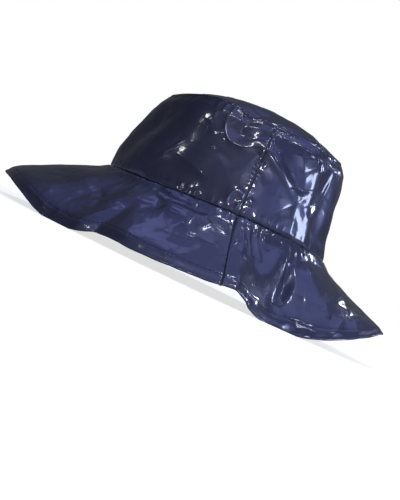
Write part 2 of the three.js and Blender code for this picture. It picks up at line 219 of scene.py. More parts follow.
SIDE_CREASES = [
    # The pushed-in patch under the tip seam and the crisp fold below it.
    Crease(
        ((72.5, 0.1), (73.5, 0.19), (76, 0.28), (81, 0.33), (88, 0.33), (96, 0.285), (103, 0.24)), 9, 2.5, 1.6
    ),
    Crease(((83, 0.01), (83.5, 0.05), (85, 0.1)), 4, 4, -0.5, 2.5),
    Crease(((77, 0.15), (80, 0.17), (83, 0.16)), 3, 3, 0.35),
    Crease(((66, 0.33), (70, 0.32), (75, 0.28)), 1.5, 2, 0.6),
    # The long fold that leans across the back panel.
    Crease(((96, 0.18), (100, 0.28), (109, 0.4), (117, 0.52), (124, 0.65)), 14, 7, 2.6),
    Crease(((117, 0.06), (120, 0.18), (124, 0.3)), 5, 4, 0.9),
    # The bright folds at the back.
    Crease(((121.5, 0.16), (122.5, 0.28), (125.5, 0.38), (127.5, 0.48)), 9, 6, 1.8, 1.5),
    Crease(((137, 0.1), (137.5, 0.3), (139, 0.46), (137, 0.6), (134, 0.7)), 4, 3.5, -1.8),
    Crease(((150, 0.1), (149, 0.26), (147, 0.4), (143.5, 0.54), (137, 0.68)), 6, 2.5, 1.5),
    Crease(((124.5, 0.5), (125.5, 0.62), (126.5, 0.76), (127, 0.9), (127.5, 1.06)), 7, 10, 2.3, 1.5),
    Crease(((135.5, 0.58), (137.5, 0.7), (138, 0.82), (137.5, 0.92), (136.5, 1.06)), 6, 7, 1.8, 1.5),
    Crease(((122, 0.04), (125, 0.11), (131, 0.14)), 1.6, 2.4, 0.8),
    Crease(((129, 0.05), (132, 0.12), (139, 0.16)), 1.8, 2.2, -0.8),
    # Small puckers along the side seam.
    Crease(((100.5, 0.04), (101.5, 0.1), (104, 0.1), (105, 0.05)), 1.3, 1.6, 0.7),
    Crease(((97, 0.3), (98.5, 0.33), (97.5, 0.37)), 1, 1.4, 0.5),
    Crease(((97, 0.4), (98.6, 0.44), (97.3, 0.48)), 1, 1.4, 0.5),
    Crease(((100, 0.36), (102, 0.42), (101, 0.47)), 1, 1.5, 0.5),
    # The crumpled corner above the brim, in front of the side seam.
    Crease(((91.5, 0.94), (92, 0.83), (94, 0.77), (97.5, 0.79)), 2.2, 2.4, 1.2, 1.6),
    Crease(((94.5, 0.95), (95.5, 0.87), (98, 0.84)), 1.8, 2, -1.1, 1.6),
    Crease(((96.5, 0.96), (97.5, 0.9), (98.7, 0.89)), 1.6, 2, 1, 1.5),
    Crease(((100.5, 0.8), (102.5, 0.83), (103, 0.87)), 1.5, 2, 0.8, 1.5),
    # Folds and small dents over the front panel, most of them faint.
    Crease(((54, 0.64), (62, 0.67), (71, 0.72), (80, 0.79)), 9, 6, 0.7),
    Crease(((68, 0.47), (74, 0.5), (80, 0.49), (86, 0.51)), 3, 4, -0.4, 3),
    Crease(((65, 0.12), (65.6, 0.19), (64.8, 0.26)), 2, 2.6, 0.6),
    Crease(((51.5, 0.655), (53.5, 0.68)), 4, 4, 1.2, 3),
    Crease(((22, 0.12), (30, 0.3), (34, 0.52)), 7, 8, -0.7),
    Crease(((12, 0.75), (22, 0.66), (36, 0.68)), 6, 8, 0.7),
]

BRIM_CREASES = [
    # Lens-shaped ripples below the crown.
    Crease(((58, 0.1), (65, 0.15), (72, 0.2), (80, 0.23), (87, 0.2)), 3, 5, 1.5),
    Crease(((62, 0.04), (68, 0.07), (75, 0.1), (81, 0.09)), 2, 3, 1.1),
    Crease(((70, 0.28), (76, 0.33), (83, 0.34)), 3, 6, 1.1),
    Crease(((76, 0.13), (82, 0.16), (87, 0.12)), 2, 2.6, -1),
    # Small crumples in front of the side seam.
    Crease(((85, 0.37), (88, 0.33), (90, 0.26), (94, 0.28), (97, 0.27)), 2, 2.4, 0.9),
    Crease(((80, 0.42), (83, 0.46), (86, 0.52)), 2, 3, 0.8),
    Crease(((84, 0.55), (89, 0.5), (95, 0.49)), 3, 4, -0.7),
    Crease(((100.5, 0.33), (102, 0.37)), 1.5, 1.5, 0.6),
    # Upright puckers behind the side seam.
    Crease(((102, 0.04), (103.5, 0.18), (105, 0.36)), 1.8, 2, 0.7),
    Crease(((105.5, 0.04), (107, 0.2), (108.5, 0.42)), 1.8, 2, 0.7),
    Crease(((109, 0.05), (111, 0.2), (113.5, 0.38)), 2, 2.2, 0.7),
    Crease(((113, 0.06), (115, 0.15), (117, 0.2)), 1.6, 1.8, 0.5),
    Crease(((103.5, 0.45), (104.5, 0.6), (106, 0.78)), 2.4, 2.4, 0.6),
    Crease(((107, 0.48), (109, 0.62), (110, 0.76)), 2.4, 2.6, 0.6),
    # The long hollow fold, with a crest on each side.
    Crease(
        ((127.5, 0.06), (126.5, 0.2), (125.5, 0.33), (123.5, 0.46), (121.5, 0.6),
         (119.5, 0.74), (118.5, 0.86)), 4.5, 8, 2.1, 1.4
    ),
    Crease(
        ((138, 0.04), (134, 0.14), (132.5, 0.25), (132.5, 0.4), (130, 0.54), (126.5, 0.7),
         (121.5, 0.84)), 9, 4, 2.5, 1.8
    ),
    Crease(((130, 0.2), (128.5, 0.4), (126, 0.56), (122.5, 0.76)), 4.5, 4.5, -2.6),
    # Folds behind it.
    Crease(((143, 0.1), (141, 0.3), (144, 0.48)), 6, 5, 0.6),
    Crease(((147, 0.46), (150, 0.51), (153, 0.5)), 1.8, 2.4, 0.7),
    Crease(((142, 0.66), (143.5, 0.73), (143, 0.78)), 1.4, 1.8, 0.6),
    Crease(((154, 0.78), (158, 0.8), (162, 0.83)), 1.6, 2, 0.7),
    Crease(((135, 0.56), (142, 0.62), (151, 0.66)), 5, 7, 0.6),
    # Faint folds in the front left of the brim.
    Crease(((38, 0.95), (46, 0.62), (56, 0.4), (66, 0.26)), 6, 9, 0.8),
    Crease(((52, 0.98), (55, 0.75), (57, 0.5)), 5, 5, 0.8),
    Crease(((20, 0.2), (32, 0.28), (46, 0.24)), 7, 8, 0.6),
    Crease(((10, 0.6), (22, 0.52), (36, 0.6)), 8, 9, -0.6),
]

TIP_CREASES = [
    Crease(((86, 0.98), (92, 0.86), (104, 0.72)), 6, 7, -1.1),
    Crease(((76, 0.96), (72, 0.82), (62, 0.66)), 6, 6, 0.6),
    Crease(((128, 0.97), (134, 0.8), (150, 0.66)), 6, 6, 0.7),
    Crease(((216, 0.97), (222, 0.75), (250, 0.5)), 7, 6, -0.9),
    Crease(((318, 0.97), (312, 0.78), (290, 0.56)), 7, 6, -0.8),
]

CREASE_SAMPLES = 28  # points along a crease's path
CREASE_REACH = 4  # slopes beyond which a crease is left out
CREASE_TAPER = 0.7  # how bluntly a crease fades towards its ends


# The plain surfaces that the frame's panels have.
def sine(turn):
    return np.sin(np.radians(turn))


def cosine(turn):
    return np.cos(np.radians(turn))


def backness(turn):
    return (1 - cosine(turn)) / 2


def mix(first, last, share):
    return first + (last - first) * share


def unit(vectors):
    return vectors / np.linalg.norm(vectors, axis=-1, keepdims=True)


def turn_between(start, end):
    """The signed turn from one angle to another, the short way round."""
    return np.mod(end - start + FULL_TURN / 2, FULL_TURN) - FULL_TURN / 2


def read(rows, key, column, at):
    """Reads a column at any keys, along a smooth curve that never overshoots its rows."""
    keys, values = rows[key], rows[column]
    steps = np.diff(values) / np.diff(keys)
    before, after = steps[:-1], steps[1:]
    slopes = np.zeros(len(keys))
    turning = before * after <= 0
    slopes[1:-1] = np.where(turning, 0, 2 * before * after / np.where(turning, 1, before + after))
    row = np.clip(np.searchsorted(keys, at, side="right") - 1, 0, len(keys) - 2)
    span = keys[row + 1] - keys[row]
    t = np.clip((at - keys[row]) / span, 0, 1)
    value = mix(values[row], values[row + 1], t * t * (3 - 2 * t))
    leave = t * (1 - t) ** 2 * span * slopes[row]
    arrive = t * t * (t - 1) * span * slopes[row + 1]
    return value + leave + arrive


def read_profile(rows, key, at, turn):
    """Reads a profile that changes round the hat, from its front column to its back column."""
    return mix(read(rows, key, "front", at), read(rows, key, "back", at), backness(turn))


ROUND_EDGE = {
    "turn": np.concatenate([EDGE["turn"] + shift for shift in (-FULL_TURN, 0, FULL_TURN)]),
    "reach": np.tile(EDGE["reach"], 3),
    "lift": np.tile(EDGE["lift"], 3),
}


def edge(column, turn):
    """Reads the brim's edge at any turn."""
    return read(ROUND_EDGE, "turn", column, np.mod(turn, FULL_TURN))


CROWN_Y = float(edge("reach", 0) - edge("reach", 180)) * BRIM_WIDTH / 2


def oval_point(turn, width, length, height):
    x = sine(turn) * width / 2
    y = CROWN_Y - cosine(turn) * length / 2
    return np.stack([x, y, height + 0 * x], -1)


def way_out(turn):
    """The level direction out of the crown."""
    return unit(np.stack([sine(turn) / BASE_WIDTH, -cosine(turn) / BASE_LENGTH, 0 * turn], -1))


def bump(x, y=0):
    return np.exp(-x * x - y * y)


def rows_of(rows):
    """A table's rows, each as a dictionary."""
    names = list(rows)
    return [dict(zip(names, values)) for values in zip(*rows.values())]


def tip_dip(turn):
    depth = 0
    for dip in rows_of(TIP_DIPS):
        depth = depth + dip["depth"] * bump(turn_between(dip["turn"], turn) / dip["wide"])
    return DENT_DEPTH * depth


def seam_height(turn):
    arch = SEAM_ARCH * sine(turn) ** 2 * (1 - ARCH_SKEW * cosine(turn))
    return mix(FRONT_SEAM_HEIGHT, BACK_SEAM_HEIGHT, backness(turn)) + arch


def tip_seam_height(turn):
    ends = mix(FRONT_SEAM_HEIGHT + FRONT_RISE, BACK_SEAM_HEIGHT + BACK_RISE, backness(turn))
    return ends + TIP_ARCH * sine(turn) ** 2 - tip_dip(turn)


def brim_seam(turn):
    return oval_point(turn, BASE_WIDTH, BASE_LENGTH, seam_height(turn))


def tip_seam(turn):
    return oval_point(turn, TOP_WIDTH, TOP_LENGTH, tip_seam_height(turn))


def brim_edge(turn):
    reach = 2 * edge("reach", turn) * BRIM_WIDTH
    return oval_point(turn, BASE_WIDTH + reach, BASE_LENGTH + reach, edge("lift", turn) * seam_height(turn))


TIP_MIDDLE = (tip_seam(np.array(0.0)) + tip_seam(np.array(180.0))) / 2


def tip_surface(turn, share):
    points = TIP_MIDDLE + (tip_seam(turn) - TIP_MIDDLE) * share[..., None]
    power = mix(FRONT_DOME_POWER, BACK_DOME_POWER, backness(turn))
    points[..., 2] += DOME_RISE * (1 - share**power) + tip_dip(turn) * (share - share**DIP_POWER)
    return points


def dent_at(turn, share):
    depth = 0
    for dent in rows_of(DENTS):
        down = (share - dent["share"]) / dent["tall"]
        across = (turn_between(dent["turn"], turn) - dent["lean"] * down) / dent["wide"]
        depth = depth + dent["depth"] * bump(across, down)
    return DENT_DEPTH * np.minimum(1, DENT_FADE * share * (1 - share)) * depth


def side_surface(turn, share):
    up = 1 - share
    top, bottom = tip_seam(turn), brim_seam(turn)
    lean_out = read_profile(SIDE_PROFILE, "up", up, turn)
    points = mix(top, bottom, lean_out[..., None])
    points[..., 2] = mix(bottom[..., 2], top[..., 2], up)
    return points - way_out(turn) * dent_at(turn, share)[..., None]


def fold_at(turn, share):
    depth = 0
    for fold in rows_of(FOLDS):
        middle = fold["turn"] + fold["swing"] * share
        along = np.clip((share - fold["start"]) / (fold["end"] - fold["start"]), 0, 1)
        across = turn_between(middle, turn) / fold["wide"]
        depth = depth + fold["depth"] * np.sin(along * np.pi) * bump(across)
    return FOLD_DEPTH * np.minimum(1, DENT_FADE * share) * depth


def brim_surface(turn, share):
    seam, rim = brim_seam(turn), brim_edge(turn)
    fall = read_profile(BRIM_PROFILE, "out", share, turn)
    points = mix(seam, rim, share[..., None])
    points[..., 2] = mix(seam[..., 2], rim[..., 2], fall)
    slope_up = way_out(turn) * (seam[..., 2] - rim[..., 2])[..., None]
    slope_up[..., 2] += np.linalg.norm(seam - rim, axis=-1)
    return points - unit(slope_up) * fold_at(turn, share)[..., None]


TURN_STEP = 0.2  # for reading a surface's slope
SHARE_STEP = 0.004
LEAST_SHARE = 0.001  # at the tip's middle, where all turns meet


def surface_normals(surface, turn, share):
    along = surface(turn + TURN_STEP, share) - surface(turn - TURN_STEP, share)
    inner = surface(turn, np.maximum(share - SHARE_STEP, LEAST_SHARE))
    outer = surface(turn, np.minimum(share + SHARE_STEP, 1))
    return unit(np.cross(outer - inner, along))


# Smooth seeded noise, for the cloth's softer unevenness.
LATTICE = 16  # gradients along each side of the noise's repeating block
NOISE_GAIN = 1.6  # brings the noise up to about 1
CREST = 0.6  # height of the sharp crests
CREST_SLOPE = 2


def cloth_noise(points, size, seed):
    """Gradient noise of about -1 to 1, whose swells are some size millimetres apart."""
    gradients = unit(np.random.default_rng(seed).normal(size=(LATTICE, LATTICE, LATTICE, 3)))
    cell = points / size
    base = np.floor(cell).astype(int)
    inside = cell - base
    ease = inside**3 * (inside * (inside * 6 - 15) + 10)
    total = 0
    for corner in itertools.product((0, 1), repeat=3):
        x, y, z = np.moveaxis((base + corner) % LATTICE, -1, 0)
        weight = np.prod(np.where(np.array(corner) == 1, ease, 1 - ease), axis=-1)
        total = total + weight * np.sum(gradients[x, y, z] * (inside - corner), axis=-1)
    return NOISE_GAIN * total


def ridged(points, size, seed):
    """Noise with sharp crests, like cloth that was crumpled and smoothed out."""
    return CREST - CREST_SLOPE * np.abs(cloth_noise(points, size, seed))


def smooth_path(path):
    """Evenly read points along a soft curve through a crease's (turn, share) points."""
    turns, shares = zip(*path)
    keys = np.arange(len(path), dtype=float)
    at = np.linspace(0, len(path) - 1, CREASE_SAMPLES)
    rows = {"key": keys, "turn": np.array(turns, float), "share": np.array(shares, float)}
    return read(rows, "key", "turn", at), read(rows, "key", "share", at)


def crease_height(crease, surface, points):
    """How high one crease lifts the cloth at points of its surface."""
    turns, shares = smooth_path(crease.path)
    line = surface(turns, shares)
    lefts = np.cross(surface_normals(surface, turns, shares), unit(np.gradient(line, axis=0)))
    reach = CREASE_REACH * max(crease.left, crease.right)
    heights = np.zeros(points.shape[:-1])
    near = np.all((points > line.min(0) - reach) & (points < line.max(0) + reach), axis=-1)
    if not near.any():
        return heights
    starts, steps = line[:-1], np.diff(line, axis=0)
    offsets = points[near][:, None] - starts
    along = np.clip(np.sum(offsets * steps, -1) / np.sum(steps * steps, -1), 0, 1)
    offsets = offsets - along[..., None] * steps
    distances = np.linalg.norm(offsets, axis=-1)
    nearest = np.arange(len(distances)), distances.argmin(1)
    distance, offset = distances[nearest], offsets[nearest]
    is_left = np.sum(offset * lefts[nearest[1]], -1) > 0
    width = np.where(is_left, crease.left, crease.right)
    rounded = np.sqrt(distance**2 + crease.rounding**2) - crease.rounding
    done = (nearest[1] + along[nearest]) / len(steps)
    heights[near] = crease.rise * np.sin(np.pi * done) ** CREASE_TAPER * np.exp(-rounded / width)
    return heights


# The least and most of each measure of the small seeded creases.
SMALL_LENGTH = (8, 34)
SMALL_BEND = (-0.5, 0.5)  # radians over a crease's length
SMALL_SLOPE = (1.5, 6)
SMALL_RISE = (0.1, 0.026)  # in millimetres, and as a share of the length
SMALL_STEPS = (-0.5, -0.17, 0.17, 0.5)  # places along a crease, from its middle
SEAM_MARGIN = 0.03  # the share at a panel's seams that they keep clear
DEGREE = 1.6  # about how many millimetres a degree of turn is


def scattered_creases(count, seed, width, turns, shares):
    """Small creases at seeded places of a panel that is so many millimetres wide."""
    random = np.random.default_rng(seed)
    creases = []
    for _ in range(count):
        turn = random.uniform(*turns)
        share = random.uniform(*shares)
        length = random.uniform(*SMALL_LENGTH)
        heading = random.uniform(0, math.pi)
        bend = random.uniform(*SMALL_BEND)
        path = []
        for step in SMALL_STEPS:
            angle = heading + bend * step
            across = step * length * math.cos(angle)
            down = step * length * math.sin(angle)
            inside = min(1 - SEAM_MARGIN, max(SEAM_MARGIN, share + down / width))
            path.append((turn + across / DEGREE, inside))
        left, right = random.uniform(*SMALL_SLOPE, 2)
        side = random.choice((-1, 1))
        rise = side * random.uniform(SMALL_RISE[0], SMALL_RISE[1] * length)
        creases.append(Crease(tuple(path), left, right, rise))
    return creases


# Many where the photo shows nothing, and few where the lists above have its creases.
TIP_CREASES += scattered_creases(26, 11, TOP_WIDTH / 2, (0, FULL_TURN), (0.25, 0.95))
SIDE_CREASES += scattered_creases(60, 12, FRONT_RISE, (150, 375), (0.05, 0.95))
SIDE_CREASES += scattered_creases(8, 13, FRONT_RISE, (15, 45), (0.1, 0.95))
BRIM_CREASES += scattered_creases(60, 14, BRIM_WIDTH, (155, 375), (0.05, 0.9))
BRIM_CREASES += scattered_creases(22, 15, BRIM_WIDTH, (15, 155), (0.05, 0.9))

# What each kind of panel adds to its plain surface. Its mesh has so many millimetres between rows, and
# so many degrees between columns on the side that the photo shows.
Panel = namedtuple("Panel", "surface width creases seed row column")
TIP = Panel(tip_surface, TOP_WIDTH / 2, TIP_CREASES, 3, 1.1, 0.42)
SIDE = Panel(side_surface, FRONT_RISE, SIDE_CREASES, 5, 0.6, 0.34)
BRIM = Panel(brim_surface, BRIM_WIDTH, BRIM_CREASES, 7, 0.75, 0.3)

# The cloth's own unevenness: how high it is, and its size from crest to crest.
SWELL = 0.9
SWELL_SIZE = 46
CRUMPLE = 0.32
CRUMPLE_SIZE = 21
FINE_CRUMPLE = 0.1
FINE_CRUMPLE_SIZE = 9
CALM = 0.85  # how much smoother the crown's side is where it is drawn tight
CALM_TURN = 60
CALM_WIDTH = 36

# Seams, and the puckers beside them.
CREASE_GAP = 4  # from a seam to where creases reach their full height
SEAM_GROOVE = 0.95  # deep, between the tip, the crown's side and the brim
SIDE_SEAM_GROOVE = 0.35
BRIM_SEAM_GROOVE = 0.65
SEAM_GROOVE_WIDTH = 0.6
SEAM_BEND = 1.2  # how near to a seam the cloth turns in
SEAM_RIDGE = 2.2  # of the seam allowance inside the hat
SEAM_RIDGE_WIDTH = 0.7
CREVICE_SHADE_WIDTH = 1.1  # over which a seam is painted darker, as painted shade in its crevice
PUCKER = 0.42  # high
PUCKER_SIZE = 8
PUCKER_PLACE = 3  # from the seam
PUCKER_REACH = 4
PUCKER_STRETCH = (1, 1, 0.2)  # puckers cross a level seam, so they are longest upwards
SIDE_PUCKER = 0.21
SIDE_PUCKER_SIZE = 5
SIDE_PUCKER_PLACE = 1.6
SIDE_PUCKER_REACH = 2.2
SIDE_PUCKER_STRETCH = (0.3, 0.3, 1)

# The hem, and how its stitches pull at the cloth.
HEM_STITCH_INSET = 1.1  # from the hem's inner edge
HEM_RIPPLE = 0.22  # high
HEM_RIPPLE_SIZE = 7
HEM_RIPPLE_SEED = 31
HEM_RIPPLE_PLACE = 3  # from the brim's edge
HEM_RIPPLE_REACH = 3
STITCH_PULL = 0.16  # deep
STITCH_DIMPLE = 0.12  # how much deeper at each stitch
STITCH_PULL_WIDTH = 0.8


def cloth_width(panel, turn):
    """How wide a panel's cloth is, from its inner seam to its outer seam or edge."""
    return panel.width * (edge("reach", turn) if panel is BRIM else 1)


def seam_distances(panel, turn, share):
    """How far each point is from its panel's nearest seam, and from its nearest side seam."""
    cloth = cloth_width(panel, turn)
    to_inner = share * cloth if panel is not TIP else np.full(turn.shape, np.inf)
    to_outer = (1 - share) * cloth if panel is not BRIM else np.full(turn.shape, np.inf)
    if panel is TIP:
        to_side = np.full(turn.shape, np.inf)
    else:
        off = np.abs(np.abs(turn_between(0, turn)) - SIDE_SEAM_TURN)
        radius = np.linalg.norm(panel.surface(turn, share)[..., :2] - (0, CROWN_Y), axis=-1)
        to_side = np.radians(off) * radius
    return np.minimum(to_inner, to_outer), to_side


def stitch_dip(distance, along):
    """A line of stitches pulls the cloth down, a little more at each stitch."""
    pull = STITCH_PULL + STITCH_DIMPLE * np.cos(2 * np.pi * along / STITCH_PITCH)
    return -pull * bump(distance / STITCH_PULL_WIDTH)


def relief(panel, turn, share):
    """How far the cloth stands off its plain surface."""
    points = panel.surface(turn, share)
    to_seam, to_side = seam_distances(panel, turn, share)
    keep = np.clip(to_seam / CREASE_GAP, 0, 1)
    keep = keep * keep * (3 - 2 * keep)
    height = SWELL * cloth_noise(points, SWELL_SIZE, panel.seed)
    crumple = CRUMPLE * ridged(points, CRUMPLE_SIZE, panel.seed + 1)
    crumple += FINE_CRUMPLE * ridged(points, FINE_CRUMPLE_SIZE, panel.seed + 2)
    calm = CALM * bump(turn_between(CALM_TURN, turn) / CALM_WIDTH) if panel is SIDE else 0
    height += crumple * (1 - calm)
    for crease in panel.creases:
        height = height + crease_height(crease, panel.surface, points)
    height = height * keep
    ripple = ridged(points * PUCKER_STRETCH, PUCKER_SIZE, panel.seed + 3)
    height += PUCKER * ripple * bump((to_seam - PUCKER_PLACE) / PUCKER_REACH) * np.clip(to_seam, 0, 1)
    ripple = ridged(points * SIDE_PUCKER_STRETCH, SIDE_PUCKER_SIZE, panel.seed + 4)
    height += SIDE_PUCKER * ripple * bump((to_side - SIDE_PUCKER_PLACE) / SIDE_PUCKER_REACH)
    height -= SEAM_GROOVE * bump(to_seam / SEAM_GROOVE_WIDTH)
    side_groove = BRIM_SEAM_GROOVE if panel is BRIM else SIDE_SEAM_GROOVE
    height -= side_groove * bump(to_side / SEAM_GROOVE_WIDTH)
    if panel is BRIM:
        from_edge = (1 - share) * cloth_width(panel, turn)
        from_stitches = from_edge - (HEM_WIDTH - HEM_STITCH_INSET)
        radius = np.linalg.norm(points[..., :2], axis=-1)
        height += stitch_dip(from_stitches, np.radians(turn) * radius)
        ripple = cloth_noise(points, HEM_RIPPLE_SIZE, HEM_RIPPLE_SEED)
        height += HEM_RIPPLE * ripple * bump((from_edge - HEM_RIPPLE_PLACE) / HEM_RIPPLE_REACH)
    return height


def seam_facing(upper, lower, turn):
    """The way out at a seam, halfway between the two panels that meet there."""
    start, end = np.zeros(turn.shape), np.ones(turn.shape)
    return unit(surface_normals(upper, turn, end) + surface_normals(lower, turn, start))


def facing(panel, turn, share):
    """The way out of the cloth, which both panels share at the seam between them."""
    ways = surface_normals(panel.surface, turn, share)
    cloth = cloth_width(panel, turn)
    seams = []
    if panel is not TIP:
        above = (tip_surface, side_surface) if panel is SIDE else (side_surface, brim_surface)
        seams.append((share * cloth, seam_facing(*above, turn)))
    if panel is not BRIM:
        below = (side_surface, brim_surface) if panel is SIDE else (tip_surface, side_surface)
        seams.append(((1 - share) * cloth, seam_facing(*below, turn)))
    for distance, way in seams:
        ways = mix(ways, way, bump(distance / SEAM_BEND)[..., None])
    return unit(ways)


def cloth_points(panel, turn, share):
    """Points of the cloth's outer face, in millimetres."""
    return panel.surface(turn, share) + facing(panel, turn, share) * relief(panel, turn, share)[..., None]


def grid_normals(points, closed):
    """The way out at each point of a grid of columns of turn and rows of share."""
    if closed:
        wide = np.concatenate([points[-1:], points, points[:1]])
        along = wide[2:] - wide[:-2]
    else:
        along = np.gradient(points, axis=0)
    return unit(np.cross(np.gradient(points, axis=1), along))


# Mesh fineness.
HIDDEN_STEP = 0.8  # degrees between columns on the far side
SHOWN_MARGIN = 4  # degrees by which the fine columns go on past the front
INSIDE_SKIP = 3  # the inside keeps every third row
SEAM_STEPS = (0, 0.25, 0.55, 0.95, 1.5)  # millimetres from a seam to the rows beside it
SHARP_ANGLE = 50  # degrees between two faces whose edge isn't smooth


def panel_turns(panel, first, last, closed=False):
    """Turns over a panel, closer together next to its ends and where the photo shows it."""
    turns = [first]
    while turns[-1] < last:
        is_shown = turn_between(0, turns[-1]) > -SHOWN_MARGIN
        turns.append(turns[-1] + (panel.column if is_shown else HIDDEN_STEP))
    if closed:
        return np.array(turns[:-1])
    ends = np.degrees(np.array(SEAM_STEPS) / (BASE_WIDTH / 2))
    inner = [turn for turn in turns if first + ends[-1] < turn < last - ends[-1]]
    return np.array([*(first + ends), *inner, *(last - ends[::-1])])


def panel_shares(panel, seam_at_start, seam_at_end):
    """Shares over a panel, closer together next to its seams."""
    near = np.array(SEAM_STEPS) / panel.width
    start = near if seam_at_start else near[:1]
    end = 1 - near[::-1] if seam_at_end else 1 - near[:1]
    count = int((end[0] - start[-1]) * panel.width / panel.row)
    return np.concatenate([start, np.linspace(start[-1], end[0], count)[1:-1], end])


def kept_rows(count):
    """The rows that the inside keeps: all of those next to its seams, and some between."""
    near = len(SEAM_STEPS)
    between = range(near + INSIDE_SKIP - 1, count - near, INSIDE_SKIP)
    return [*range(near), *between, *range(count - near, count)]


# The order of a cloth piece's materials.
VINYL = 0
BACKING = 1


def new_object(name, data):
    thing = bpy.data.objects.new(name, data)
    bpy.context.scene.collection.objects.link(thing)
    return thing


def mesh_piece(name, points, faces, materials, face_materials, crevice_shade=None):
    """A smooth-shaded object from points in millimetres."""
    mesh = bpy.data.meshes.new(name)
    mesh.from_pydata([tuple(point) for point in points * MM], [], faces)
    for material in materials:
        mesh.materials.append(material)
    mesh.polygons.foreach_set("material_index", face_materials)
    mesh.polygons.foreach_set("use_smooth", [True] * len(mesh.polygons))
    if crevice_shade is not None:
        layer = mesh.attributes.new("crevice_shade", "FLOAT", "POINT")
        layer.data.foreach_set("value", crevice_shade.astype(np.float32))
    mesh.set_sharp_from_angle(angle=math.radians(SHARP_ANGLE))
    mesh.validate()
    return new_object(name, mesh)


def on_floor(points):
    """Lifts what would reach below the floor."""
    points[..., 2] = np.maximum(points[..., 2], 0)
    return points


def hem_wall(panel, turn, share):
    """The thickness of the cloth, which is doubled in the hem."""
    if panel is not BRIM:
        return np.full(share.shape, CLOTH)
    from_edge = (1 - share) * cloth_width(panel, turn)
    return mix(HEM_CLOTH, CLOTH, np.clip((from_edge - HEM_WIDTH) / HEM_RAMP, 0, 1))


def shell(panel, turns, shares, closed):
    """The loop of points round the cloth's section at each turn, and how much painted crevice shade each
    point gets.
    """
    turn, share = np.meshgrid(turns, shares, indexing="ij")
    outside = cloth_points(panel, turn, share)
    normals = grid_normals(outside, closed)
    to_seam, to_side = seam_distances(panel, turn, share)
    wall = hem_wall(panel, turn, share)
    ridge = SEAM_RIDGE * bump(np.minimum(to_seam, to_side) / SEAM_RIDGE_WIDTH)
    if panel is BRIM:
        ridge = ridge * np.clip((1 - share) * panel.width / HEM_WIDTH, 0, 1)
    inside = outside - facing(panel, turn, share) * (wall + ridge)[..., None]
    # Painted shade: the cloth is darkened next to its seams, as if shade fell in the crevice.
    crevice_shade = bump(np.minimum(to_seam, to_side) / CREVICE_SHADE_WIDTH)
    loops, dark = [outside], [crevice_shade]
    if panel is BRIM:
        radius = wall[:, -1, None] / 2
        outwards = unit(outside[:, -1] - outside[:, -2])
        middle = outside[:, -1] - normals[:, -1] * radius
        for angle in np.linspace(0, np.pi, RIM_STEPS + 2)[1:-1]:
            ring = middle + radius * (math.cos(angle) * normals[:, -1] + math.sin(angle) * outwards)
            loops.append(ring[:, None])
            dark.append(np.zeros((len(turns), 1)))
    inside = inside[:, kept_rows(len(shares))[::-1]]
    loops.append(inside)
    dark.append(np.zeros(inside.shape[:2]))
    return on_floor(np.concatenate(loops, 1)), np.concatenate(dark, 1)


def panel_piece(name, panel, first, last, materials):
    """A panel from one side seam to the other."""
    opening = math.degrees(SEAM_OPENING / BASE_WIDTH)
    turns = panel_turns(panel, first + opening, last - opening)
    shares = panel_shares(panel, True, panel is not BRIM)
    shares = SEAM_OPENING / 2 / panel.width + shares * (1 - SEAM_OPENING / panel.width)
    if panel is BRIM:
        shares = shares * (1 - HEM_CLOTH / 2 / panel.width)
    points, crevice_shade = shell(panel, turns, shares, False)
    count, loop = points.shape[:2]
    outer = len(shares)
    kept = kept_rows(outer)
    index = np.arange(count * loop).reshape(count, loop)
    faces, kinds = [], []
    first_backing = outer
    if panel is BRIM:
        first_backing = loop - 1 - np.searchsorted(shares[kept], 1 - HEM_WIDTH / panel.width)
    for j in range(loop):
        k = (j + 1) % loop
        kind = BACKING if first_backing <= j < loop - 1 else VINYL
        for i in range(count - 1):
            faces.append((index[i, j], index[i, k], index[i + 1, k], index[i + 1, j]))
            kinds.append(kind)
    for n, (start, end) in enumerate(zip(kept, kept[1:])):
        under = [loop - 1 - n, loop - 2 - n]
        faces.append(tuple(index[0, [*range(end, start - 1, -1), *under]]))
        faces.append(tuple(index[-1, [*range(start, end + 1), *under[::-1]]]))
        kinds += [VINYL, VINYL]
    if panel is BRIM:
        rim = list(range(outer - 1, outer + RIM_STEPS + 1))
        faces.append(tuple(index[0, j] for j in reversed(rim)))
        faces.append(tuple(index[-1, j] for j in rim))
        kinds += [VINYL, VINYL]
    return mesh_piece(name, points.reshape(-1, 3), faces, materials, kinds, crevice_shade.reshape(-1))


def tip_piece(name, materials):
    """The tip, as rings round its middle, closed by a point above and one below."""
    turns = panel_turns(TIP, 0, FULL_TURN, closed=True)
    shares = panel_shares(TIP, False, True)[1:]
    shares = shares * (1 - SEAM_OPENING / 2 / TIP.width)
    points, crevice_shade = shell(TIP, turns, shares, True)
    count, loop = points.shape[:2]
    outer = len(shares)
    index = np.arange(count * loop).reshape(count, loop)
    tops = points[:, 0].mean(0), points[:, -1].mean(0)
    top, under = count * loop, count * loop + 1
    faces, kinds = [], []
    for i in range(count):
        n = (i + 1) % count
        faces.append((top, index[i, 0], index[n, 0]))
        faces.append((under, index[n, -1], index[i, -1]))
        kinds += [VINYL, BACKING]
        for j in range(loop - 1):
            faces.append((index[i, j], index[i, j + 1], index[n, j + 1], index[n, j]))
            kinds.append(BACKING if j >= outer else VINYL)
    everything = np.concatenate([points.reshape(-1, 3), tops])
    return mesh_piece(name, everything, faces, materials, kinds, np.append(crevice_shade.reshape(-1), (0, 0)))


# Stitches.
THREAD = 0.42  # thick
STITCH = 2.5  # long
STITCH_PITCH = 3.4
STITCH_START = 0.15  # of the pitch, before the first stitch
STITCH_ARCH = 0.35  # of the thread's thickness
STITCH_LIFT = 0.1  # of the thread's thickness, off the cloth
STITCH_SIDES = 6
STITCH_RINGS = ((0, 0.35), (0.06, 0.8), (0.3, 1), (0.7, 1), (0.94, 0.8), (1, 0.35))  # along, size
STITCH_LINE_STEP = 0.5  # degrees between two points of a line of stitches
TIP_STITCH_INSET = 1.6  # from the tip seam


